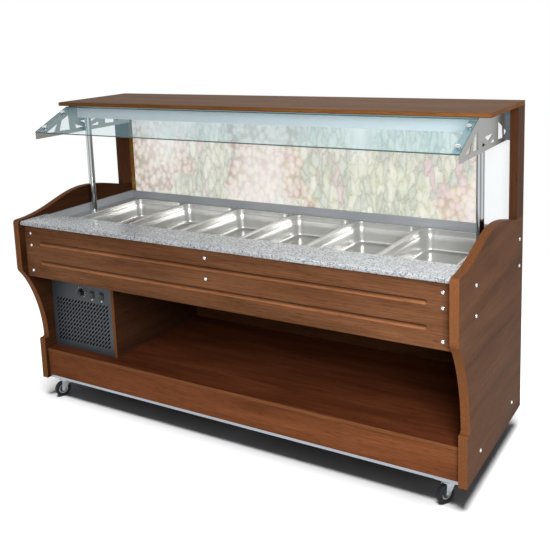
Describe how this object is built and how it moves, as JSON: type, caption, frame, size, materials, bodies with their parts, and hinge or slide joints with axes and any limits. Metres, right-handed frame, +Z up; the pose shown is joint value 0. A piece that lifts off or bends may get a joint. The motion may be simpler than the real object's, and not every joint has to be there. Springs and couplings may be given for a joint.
{
  "type": "mobile salad bar",
  "caption": "Mobile refrigerated salad bar on castors: wooden cabinet with shaped sides, granite ledge, pan well, slanted glass canopy, roof shelf and open storage deck.",
  "frame": {"origin": "centre of the footprint, on the floor under the castors", "axes": "+X to the right along the length seen from the front, -Y out of the front with the apron and the granite ledge, +Z up"},
  "size_m": [2.159, 0.84, 1.44],
  "materials": {
    "wood_board": "satin",
    "granite": "polished, speckled",
    "canopy_glass": "clear",
    "rear_glass": "pale tinted",
    "bracket_steel": "polished",
    "well_steel": "satin",
    "pan_steel": "satin",
    "lamp_housing": "satin",
    "lamp_tube": "opal",
    "chrome": "polished",
    "white_plastic": "gloss",
    "foam": "matt",
    "copper": "drawn",
    "base_aluminium": "satin",
    "zinc": "zinc plated",
    "grille_paint": "satin powder coat",
    "black_plastic": "matt",
    "compressor_paint": "gloss",
    "fin_aluminium": "finned",
    "wheel_rubber": "matt"
  },
  "bodies": {
    "cabinet": {"side_panel_left": "wood_board", "side_panel_right": "wood_board", "upright_left": "wood_board", "upright_right": "wood_board", "roof_shelf": "wood_board", "ledge_board": "wood_board", "front_apron": "wood_board", "back_panel": "wood_board", "divider": "wood_board", "deck": "wood_board", "plinth_board": "wood_board", "deck_bearers": "wood_board", "granite_ledge": "granite", "canopy_glass": "canopy_glass", "rear_glass": "rear_glass", "bracket_left": "bracket_steel", "bracket_right": "bracket_steel", "bracket_spacers": "bracket_steel", "glass_fixings": "bracket_steel", "well_liner": "well_steel", "well_upstands": "well_steel", "well_casing": "well_steel", "pan_bars": "well_steel", "drain_outlet": "well_steel", "lamp_housing": "lamp_housing", "lamp_tubes": "lamp_tube", "posts": "chrome", "screw_caps": "white_plastic", "pilot_lamps": "white_plastic", "well_insulation": "foam", "evaporator_coil": "copper", "refrigerant_lines": "copper", "base_frame": "base_aluminium", "castor_plates": "zinc", "grille_panel": "grille_paint", "unit_tray": "grille_paint", "fan_shroud": "grille_paint", "switch_bezels": "black_plastic", "cable_gland": "black_plastic", "compressor": "compressor_paint", "fan_motor": "compressor_paint", "condenser": "fin_aluminium"},
    "castor_front_left": {"fork_front_left": "zinc"},
    "castor_wheel_front_left": {"wheel_front_left": "wheel_rubber"},
    "castor_front_right": {"fork_front_right": "zinc"},
    "castor_wheel_front_right": {"wheel_front_right": "wheel_rubber"},
    "castor_rear_left": {"fork_rear_left": "zinc"},
    "castor_wheel_rear_left": {"wheel_rear_left": "wheel_rubber"},
    "castor_rear_right": {"fork_rear_right": "zinc"},
    "castor_wheel_rear_right": {"wheel_rear_right": "wheel_rubber"},
    "knob": {"thermostat_knob": "black_plastic"},
    "switch_power": {"rocker_power": "black_plastic"},
    "switch_light": {"rocker_light": "black_plastic"},
    "fan": {"fan_blade": "black_plastic"},
    "pan_body_1": {"pan_1": "pan_steel"},
    "pan_body_2": {"pan_2": "pan_steel"},
    "pan_body_3": {"pan_3": "pan_steel"},
    "pan_body_4": {"pan_4": "pan_steel"},
    "pan_body_5": {"pan_5": "pan_steel"},
    "pan_body_6": {"pan_6": "pan_steel"}
  },
  "joints": [
    {"name": "swivel_front_left", "type": "hinge", "parent": "cabinet", "child": "castor_front_left", "pos_m": [-0.986, -0.262, 0.0817], "axis": [0, 0, 1], "continuous": true},
    {"name": "roll_front_left", "type": "hinge", "parent": "castor_front_left", "child": "castor_wheel_front_left", "pos_m": [-0.99276, -0.2765, 0.0375], "axis": [-0.9063, 0.4226, 0], "continuous": true},
    {"name": "swivel_front_right", "type": "hinge", "parent": "cabinet", "child": "castor_front_right", "pos_m": [0.986, -0.262, 0.0817], "axis": [0, 0, 1], "continuous": true},
    {"name": "roll_front_right", "type": "hinge", "parent": "castor_front_right", "child": "castor_wheel_front_right", "pos_m": [0.978, -0.27586, 0.0375], "axis": [-0.866, 0.5, 0], "continuous": true},
    {"name": "swivel_rear_left", "type": "hinge", "parent": "cabinet", "child": "castor_rear_left", "pos_m": [-0.986, 0.345, 0.0817], "axis": [0, 0, 1], "continuous": true},
    {"name": "roll_rear_left", "type": "hinge", "parent": "castor_rear_left", "child": "castor_wheel_rear_left", "pos_m": [-1.0005, 0.33824, 0.0375], "axis": [-0.4226, 0.9063, 0], "continuous": true},
    {"name": "swivel_rear_right", "type": "hinge", "parent": "cabinet", "child": "castor_rear_right", "pos_m": [0.986, 0.345, 0.0817], "axis": [0, 0, 1], "continuous": true},
    {"name": "roll_rear_right", "type": "hinge", "parent": "castor_rear_right", "child": "castor_wheel_rear_right", "pos_m": [0.97024, 0.34222, 0.0375], "axis": [-0.1736, 0.9848, 0], "continuous": true},
    {"name": "thermostat_turn", "type": "hinge", "parent": "cabinet", "child": "knob", "pos_m": [-0.848, -0.247, 0.545], "axis": [0, -1, 0], "range_deg": [-135, 135]},
    {"name": "rocker_power_tilt", "type": "hinge", "parent": "cabinet", "child": "switch_power", "pos_m": [-0.777, -0.248, 0.545], "axis": [-1, 0, 0], "range_deg": [0, 16]},
    {"name": "rocker_light_tilt", "type": "hinge", "parent": "cabinet", "child": "switch_light", "pos_m": [-0.717, -0.248, 0.545], "axis": [-1, 0, 0], "range_deg": [0, 16]},
    {"name": "fan_spin", "type": "hinge", "parent": "cabinet", "child": "fan", "pos_m": [-0.848, -0.144, 0.4], "axis": [0, 1, 0], "continuous": true},
    {"name": "pan_lift_1", "type": "slide", "parent": "cabinet", "child": "pan_body_1", "axis": [0, 0, 1], "range_m": [0, 0.2]},
    {"name": "pan_lift_2", "type": "slide", "parent": "cabinet", "child": "pan_body_2", "axis": [0, 0, 1], "range_m": [0, 0.2]},
    {"name": "pan_lift_3", "type": "slide", "parent": "cabinet", "child": "pan_body_3", "axis": [0, 0, 1], "range_m": [0, 0.2]},
    {"name": "pan_lift_4", "type": "slide", "parent": "cabinet", "child": "pan_body_4", "axis": [0, 0, 1], "range_m": [0, 0.2]},
    {"name": "pan_lift_5", "type": "slide", "parent": "cabinet", "child": "pan_body_5", "axis": [0, 0, 1], "range_m": [0, 0.2]},
    {"name": "pan_lift_6", "type": "slide", "parent": "cabinet", "child": "pan_body_6", "axis": [0, 0, 1], "range_m": [0, 0.2]}
  ]
}
